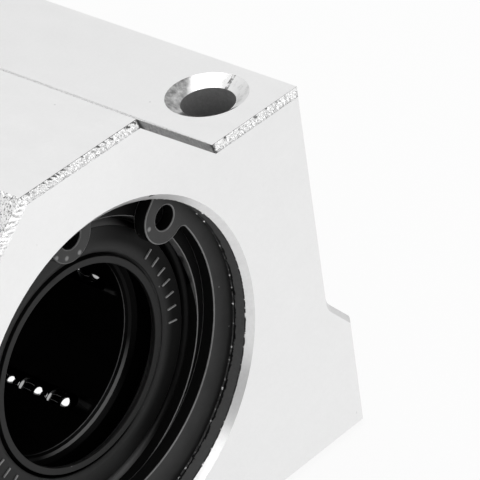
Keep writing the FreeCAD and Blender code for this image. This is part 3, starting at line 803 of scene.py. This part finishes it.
def screw_thread(name, x, y):
    """The thread ridge that runs up the lower end of one screw hole."""
    pitch = 0.8 * MM
    turns = 14
    steps_per_turn = 20
    root = HOLE_RADIUS + 0.03 * MM
    crest = HOLE_RADIUS - 0.13 * MM
    shape = bmesh.new()
    profile = [(root, -0.3 * pitch), (crest, 0.0), (root, 0.3 * pitch)]
    face = shape.faces.new([shape.verts.new((radius, 0, z)) for radius, z in profile])
    bmesh.ops.spin(shape, geom=[face], cent=(0, 0, 0), axis=(0, 0, 1),
                   dvec=(0, 0, pitch / steps_per_turn), angle=turns * 2 * math.pi,
                   steps=turns * steps_per_turn, use_merge=False, use_duplicate=False)
    bmesh.ops.translate(shape, verts=shape.verts, vec=(x, y, 0.75 * MM))
    bmesh.ops.remove_doubles(shape, verts=shape.verts, dist=1e-7)
    bmesh.ops.recalc_face_normals(shape, faces=shape.faces)
    return new_piece(name, shape, ALUMINIUM)


def seal_bars(name, side):
    """Two rows of small moulded bars, generic marks on the face of a seal."""
    inner = 9.4 * MM
    outer = 10.3 * MM
    half_width = 0.06 * MM
    rise = 0.12 * MM
    angles = [start + 7 * bar for start in (58, 238) for bar in range(7)]
    shape = bmesh.new()
    for angle in angles:
        bar = bmesh.ops.create_cube(shape, size=1.0)["verts"]
        bmesh.ops.scale(shape, verts=bar, vec=(2 * half_width, 2 * rise, outer - inner))
        bmesh.ops.translate(shape, verts=bar, vec=(0, 0, (inner + outer) / 2))
        bmesh.ops.rotate(shape, verts=bar, cent=(0, 0, 0),
                         matrix=Matrix.Rotation(math.radians(angle), 3, "Y"))
    bmesh.ops.bevel(shape, geom=shape.edges[:], offset=0.03 * MM, offset_type="OFFSET",
                    affect="EDGES", segments=2, profile=0.5, material=-1)
    bmesh.ops.translate(shape, verts=shape.verts, vec=(0, side * SEAL_FACE, BORE_HEIGHT))
    for face in shape.faces:
        face.smooth = True
    return new_piece(name, shape, LIT_BAR_RUBBER)


def joined_spots(start, seen):
    """The places of all vertices that edges join to a first one, which are marked as seen."""
    spots, front = [], [start]
    seen.add(start)
    while front:
        vert = front.pop()
        spots.append(vert.co.copy())
        for edge in vert.link_edges:
            other = edge.other_vert(vert)
            if other not in seen:
                seen.add(other)
                front.append(other)
    return spots


def ball_row(name, node):
    """The balls of one row, rounder than the solids they stand for."""
    solids = bmesh.new()
    solids.from_mesh(frame["nodes"][node].data)
    bmesh.ops.remove_doubles(solids, verts=solids.verts, dist=1e-6)
    shape = bmesh.new()
    seen = set()
    for vert in solids.verts:
        if vert in seen:
            continue
        spots = joined_spots(vert, seen)
        low = Vector(min(spot[axis] for spot in spots) for axis in range(3))
        high = Vector(max(spot[axis] for spot in spots) for axis in range(3))
        bmesh.ops.create_icosphere(shape, subdivisions=4, radius=(high.y - low.y) / 2,
                                   matrix=Matrix.Translation((low + high) / 2))
    solids.free()
    for face in shape.faces:
        face.smooth = True
    return new_piece(name, shape, BALLS, [node])


def dress_end(end_name, side):
    """The circlip, seal and burrs at one end of the block."""
    end = side * BLOCK_END
    softened(f"{end_name}_circlip_ring", f"{end_name}_circlip", 0.09 * MM, CIRCLIP_BLACK,
             CIRCLIP_EDGE)
    softened(f"{end_name}_seal_ring", f"{end_name}_seal", 0.04 * MM, RUBBER, RUBBER_EDGE,
             clear_of_lip, close_lip_groove)
    seal_bars(f"{end_name}_seal_bars", side)
    end_burrs(end, end_name)
    ring_burr(f"{end_name}_mouth_burr", end, depth=0.5 * MM, width=0.14 * MM, rise=0.07 * MM,
              seed=side)
    ring_burr(f"{end_name}_groove_burr", end, depth=1.7 * MM, width=0.16 * MM, rise=0.1 * MM,
              seed=3 * side)


def dress_bearing():
    """The sleeve, the retainer and all the balls."""
    softened("sleeve_ring", "bearing_sleeve", 0.06 * MM, SLEEVE, SLEEVE_EDGE,
             at_sleeve_end)
    softened("ball_cage", "ball_retainer", 0.09 * MM, CAGE, CAGE_EDGE,
             at_retainer_end)
    for row in range(1, 6):
        ball_row(f"loaded_row_{row}", f"loaded_balls_{row}")
        ball_row(f"return_row_{row}", f"return_balls_{row}")


dress("housing_block", ALUMINIUM)
dress("front_stop_ring", WIRE)
dress("rear_stop_ring", WIRE)
dress_end("front", -1.0)
dress_end("rear", 1.0)
dress_bearing()
sawn_flank("left_sawn_flank", -1.0)
sawn_flank("right_sawn_flank", 1.0)
for corner, (sx, sy) in enumerate([(-1, -1), (1, -1), (1, 1), (-1, 1)], start=1):
    screw_thread(f"screw_thread_{corner}", sx * HOLE_X, sy * HOLE_Y)


# ---------------------------------------------------------------- stage, light and camera

def studio_floor():
    """A plain white table that keeps a soft shadow of the block."""
    shape = bmesh.new()
    bmesh.ops.create_grid(shape, x_segments=1, y_segments=1, size=3.0)
    bmesh.ops.translate(shape, verts=shape.verts, vec=(0, 0, -0.02 * MM))
    mesh = bpy.data.meshes.new("studio_floor")
    shape.to_mesh(mesh)
    shape.free()
    floor = bpy.data.objects.new("studio_floor", mesh)
    bpy.context.scene.collection.objects.link(floor)
    table = Finish("white table", Roughness=0.8, Specular_IOR_Level=0.0)
    table.surface("Base Color", (0.9, 0.9, 0.9, 1))
    glow = table.add("ShaderNodeEmission")
    glow.inputs["Strength"].default_value = 1.0
    rays = table.add("ShaderNodeLightPath").outputs
    seen = table.either(rays["Is Camera Ray"], rays["Is Glossy Ray"], rays["Is Transmission Ray"])
    mix = table.add("ShaderNodeMixShader")
    table.feed(mix.inputs[0], table.times(seen, 0.9))
    table.feed(mix.inputs[1], table.shader.outputs[0])
    table.feed(mix.inputs[2], glow.outputs[0])
    table.feed(table.tree.nodes["Material Output"].inputs[0], mix.outputs[0])
    mesh.materials.append(table.material)


def studio_world():
    """White to the camera; in gloss a bright ceiling and back wall over a dim horizon."""
    world = bpy.data.worlds.new("studio")
    bpy.context.scene.world = world
    world.use_nodes = True
    sky = Nodes(world.node_tree)
    toward = sky.add("ShaderNodeTexCoord").outputs["Generated"]
    along, up = sky.parts(toward)[1:]
    ceiling = sky.times(sky.span(up, 0.02, 0.55, 0.10, 0.86),
                        sky.span(along, -0.45, -0.2, 0.25, 1.0))
    back_wall = sky.span(along, 0.15, 0.8, 0.0, 0.8)
    to_lamp = sky.add("ShaderNodeVectorMath", operation="DOT_PRODUCT")
    sky.feed(to_lamp.inputs[0], toward)
    sky.feed(to_lamp.inputs[1], Vector((-0.05, -0.62, 0.78)).normalized())
    lamp = sky.span(to_lamp.outputs["Value"], 0.852, 0.878, 0.0, 2.4, smooth=False)
    in_gloss = sky.either(ceiling, back_wall, lamp)
    rays = sky.add("ShaderNodeLightPath").outputs
    lit = sky.blend(rays["Is Glossy Ray"], 0.7, in_gloss)
    seen = sky.either(rays["Is Camera Ray"], rays["Is Transmission Ray"])
    background = sky.tree.nodes["Background"]
    sky.feed(background.inputs["Strength"], sky.blend(seen, lit, 1.0))
    sky.feed(background.inputs["Color"], (1, 1, 1, 1))


def softbox(name, centre, target, size, radiance):
    """A square lamp of a given brightness, turned towards the block."""
    lamp = bpy.data.lights.new(name, "AREA")
    lamp.shape = "SQUARE"
    lamp.size = size
    lamp.energy = radiance * math.pi * size * size
    stand = bpy.data.objects.new(name, lamp)
    stand.location = centre
    stand.rotation_mode = "QUATERNION"
    stand.rotation_quaternion = (Vector(target) - Vector(centre)).to_track_quat("-Z", "Y")
    bpy.context.scene.collection.objects.link(stand)


def camera():
    """A long lens from above the front left corner, held with a slight roll."""
    eye = Vector((-141.21, -184.47, 167.83)) * MM
    ahead = Vector((0.5813, 0.6088, -0.5399)).normalized()
    up = Vector((0.4761, 0.2836, 0.8324))
    right = ahead.cross(up).normalized()
    up = right.cross(ahead)
    data = bpy.data.cameras.new("camera")
    data.sensor_width = 36.0
    data.lens = 266.7
    data.clip_start = 0.01
    data.clip_end = 20.0
    holder = bpy.data.objects.new("camera", data)
    holder.matrix_world = Matrix.Translation(eye) @ Matrix((right, up, -ahead)).transposed().to_4x4()
    bpy.context.scene.collection.objects.link(holder)
    bpy.context.scene.camera = holder


studio_floor()
studio_world()
softbox("ceiling_softbox", centre=(0.15, 0.25, 0.95), target=(0, 0, 0.02), size=0.8, radiance=1.1)
camera()
bpy.context.scene.view_settings.view_transform = "Standard"
